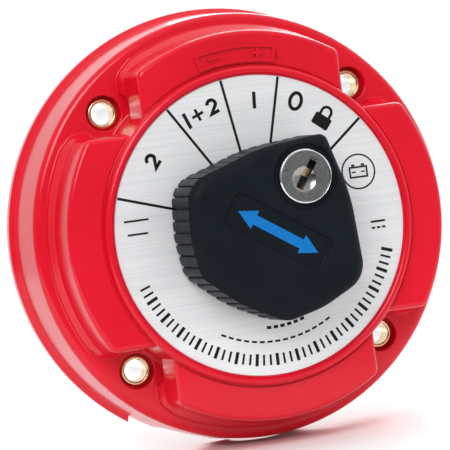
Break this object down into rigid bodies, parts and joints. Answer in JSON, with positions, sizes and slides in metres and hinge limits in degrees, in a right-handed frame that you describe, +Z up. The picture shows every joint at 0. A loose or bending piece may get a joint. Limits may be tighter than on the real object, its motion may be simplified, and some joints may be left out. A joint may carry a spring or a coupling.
{
  "type": "battery selector switch",
  "caption": "Surface-mounted marine battery selector switch: round case with four lobes, brushed dial, fluted turning knob with a key lock, and three terminal studs behind.",
  "frame": {"origin": "centre of the back face, on the switch axis, where the case meets the wall", "axes": "+Z up as the switch stands on a bulkhead, -Y out of the front along the switch axis, +X to the right seen from the front"},
  "size_m": [0.133, 0.0643, 0.1308],
  "materials": {
    "red_plastic": "glossy moulded",
    "dial_aluminium": "brushed",
    "brass": "polished",
    "black_plastic": "fine texture",
    "phenolic": "moulded",
    "nylon": "moulded",
    "rubber": "matte",
    "copper": "copper, mill finish",
    "tinned_stud": "tin plated",
    "steel": "stainless",
    "lock_chrome": "polished"
  },
  "bodies": {
    "case": {"front_cover": "red_plastic", "dial_plate": "dial_aluminium", "mounting_bushings": "brass", "lock_strike": "steel", "strike_screws": "steel", "contact_base": "phenolic", "base_gasket": "rubber", "base_screws": "steel", "common_contact": "copper", "battery_1_contact": "copper", "battery_2_contact": "copper", "terminal_studs": "tinned_stud", "terminal_washers": "steel", "terminal_nuts": "tinned_stud", "detent_spring": "steel"},
    "knob": {"knob": "black_plastic", "drive_shaft": "steel", "shaft_pin": "steel", "shaft_seal": "rubber", "rotor": "nylon", "rotor_clip": "steel", "moving_contact": "copper", "contact_springs": "steel", "lock_barrel": "lock_chrome", "lock_nut": "steel"},
    "key_plug": {"lock_plug": "lock_chrome", "lock_tongue": "steel", "tongue_screw": "steel"}
  },
  "joints": [
    {"name": "knob_turn", "type": "hinge", "parent": "case", "child": "knob", "pos_m": [0, -0.0435, 0], "axis": [0, -1, 0], "range_deg": [0, 85.5], "deforming": ["detent_spring"]},
    {"name": "lock_turn", "type": "hinge", "parent": "knob", "child": "key_plug", "pos_m": [0.0085, -0.06, 0.0126], "axis": [0, 1, 0], "range_deg": [0, 90]}
  ]
}
